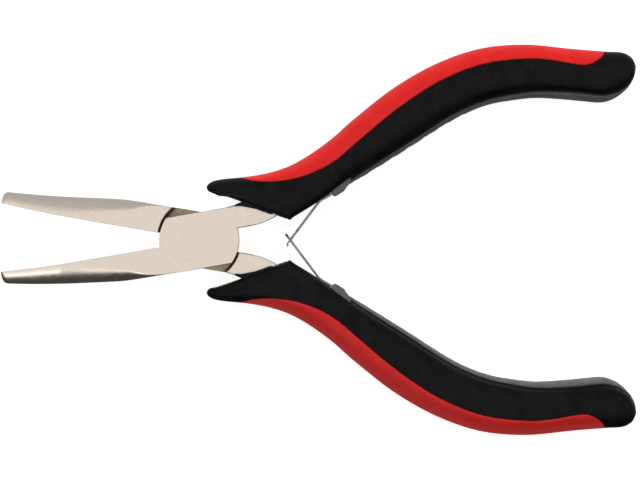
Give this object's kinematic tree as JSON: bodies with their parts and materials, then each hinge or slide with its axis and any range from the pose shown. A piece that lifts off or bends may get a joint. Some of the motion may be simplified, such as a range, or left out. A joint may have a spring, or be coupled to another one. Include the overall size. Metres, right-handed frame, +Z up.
{
  "type": "long nose pliers",
  "caption": "Small lap-joint pliers with smooth half-round jaws that taper to thin tips, crossed leaf springs that open them, and curved two-colour moulded grips.",
  "frame": {"origin": "centre of the pliers' box in plan, on the plane that the grips rest on, with the pliers sprung open", "axes": "+X from the jaws' tips towards the handles' ends, +Y towards the handle whose lap plate is on top, +Z up along the pivot"},
  "size_m": [0.1112, 0.0684, 0.0102],
  "materials": {
    "ground_steel": "satin ground, warm light grey",
    "spring_steel": "dull grey spring steel",
    "black_grip": "satin moulded black",
    "red_inlay": "soft satin red"
  },
  "bodies": {
    "upper_side": {"upper_lever": "ground_steel", "pivot_rivet": "ground_steel", "upper_grip": "black_grip", "upper_grip_inlay": "red_inlay", "upper_spring_rivet": "spring_steel"},
    "lower_side": {"lower_lever": "ground_steel", "lower_grip": "black_grip", "lower_grip_inlay": "red_inlay", "lower_spring_rivet": "spring_steel"},
    "upper_leaf": {"upper_leaf_spring": "spring_steel"},
    "lower_leaf": {"lower_leaf_spring": "spring_steel"}
  },
  "joints": [
    {"name": "jaw_pivot", "type": "hinge", "parent": "upper_side", "child": "lower_side", "pos_m": [-0.0204, 0, 0.00512], "axis": [0, 0, 1], "range_deg": [-6, 19.5], "stiffness_Nm_per_rad": 0.5},
    {"name": "upper_leaf_flex", "type": "hinge", "parent": "upper_side", "child": "upper_leaf", "pos_m": [0.00078, 0.00664, 0.00512], "axis": [0, 0, 1], "range_deg": [-22.2, 7], "deforming": ["upper_leaf_spring"]},
    {"name": "lower_leaf_flex", "type": "hinge", "parent": "lower_side", "child": "lower_leaf", "pos_m": [0.00078, -0.00664, 0.00512], "axis": [0, 0, 1], "range_deg": [-7, 22.2], "deforming": ["lower_leaf_spring"]}
  ],
  "couplings": [
    {"joint": "upper_leaf_flex", "follows": "jaw_pivot", "ratio": -1.128},
    {"joint": "lower_leaf_flex", "follows": "jaw_pivot", "ratio": 1.128}
  ]
}
